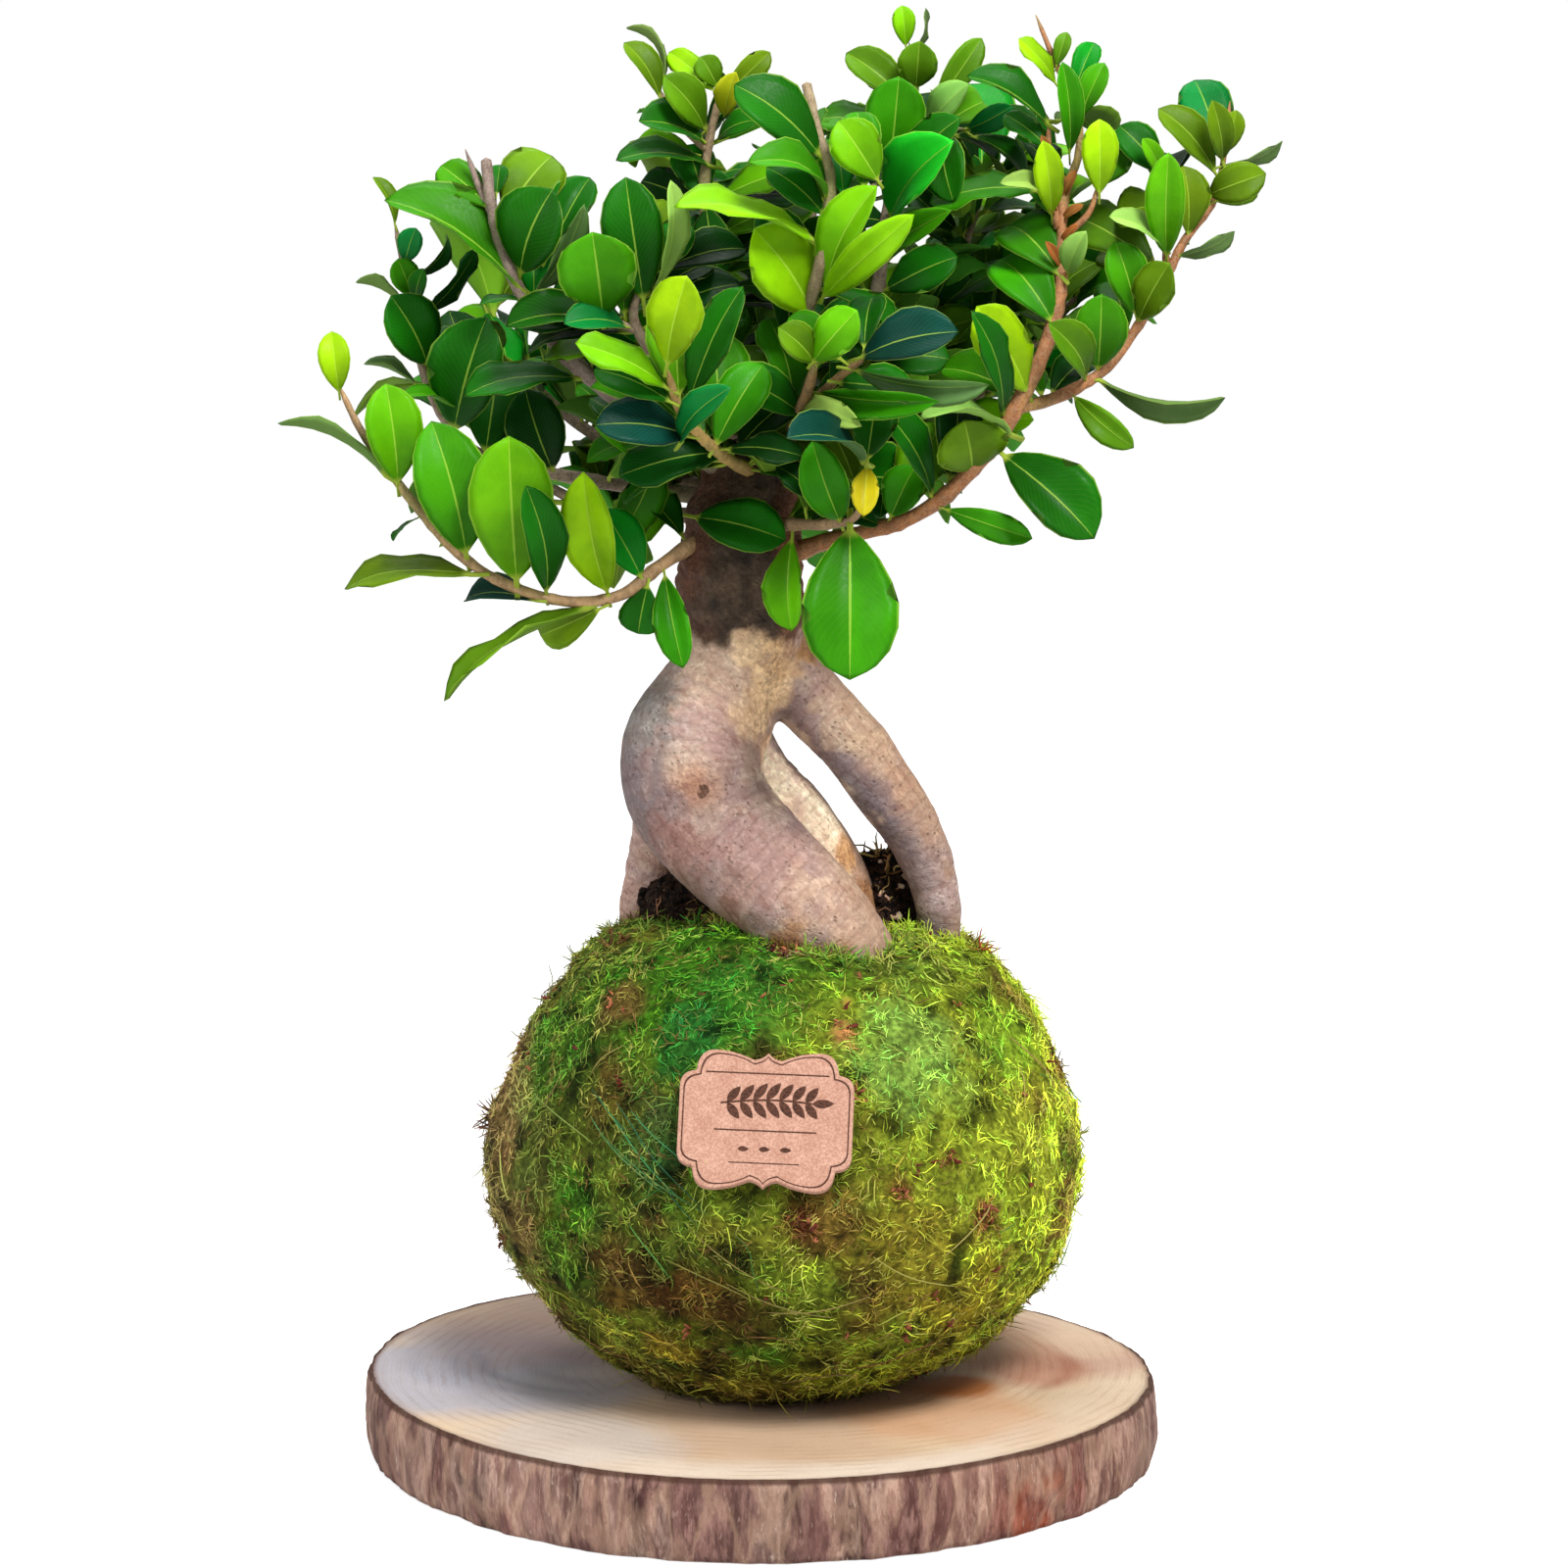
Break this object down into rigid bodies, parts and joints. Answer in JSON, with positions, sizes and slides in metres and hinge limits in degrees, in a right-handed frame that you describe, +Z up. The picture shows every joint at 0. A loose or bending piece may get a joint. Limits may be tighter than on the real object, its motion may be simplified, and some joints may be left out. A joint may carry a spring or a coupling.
{
  "type": "kokedama moss ball plant",
  "caption": "Small fig tree with thick aerial roots in a moss-covered ball of soil that carries a cork label and rests on a round slice of wood.",
  "frame": {"origin": "centre of the wood slice's flat underside", "axes": "+Z up along the tree, -Y towards the viewer and the cork label, +X to the right as seen from the front"},
  "size_m": [0.2906, 0.2408, 0.4343],
  "materials": {
    "wood": "sawn, matt, bark left on the rim",
    "soil": "crumbly, matt",
    "moss": "matted strands, matt",
    "root": "smooth bark with fine cross wrinkles",
    "cork": "fine cork, matt",
    "leaf": "leathery, glossy"
  },
  "bodies": {
    "root": {"wood_slice": "wood", "soil_ball": "soil", "moss_cover": "moss", "trunk": "root", "label_plaque": "cork", "leafy_branch_left_low": "leaf", "leafy_branch_left_high": "leaf", "leafy_branch_left_middle": "leaf", "leafy_branch_centre_left": "leaf", "leafy_branch_upper_left": "leaf", "leafy_branch_top_left": "leaf", "leafy_branch_top_centre": "leaf", "leafy_branch_top_right": "leaf", "leafy_branch_centre_right": "leaf", "leafy_branch_low_front": "leaf", "leafy_branch_right": "leaf", "leafy_branch_back_left": "leaf", "leafy_branch_back": "leaf", "leafy_branch_back_right": "leaf", "leafy_branch_back_top": "leaf", "leafy_branch_back_low": "leaf", "leafy_branch_side_right": "leaf", "leafy_branch_side_left": "leaf", "leafy_branch_side_high": "leaf"}
  },
  "joints": []
}
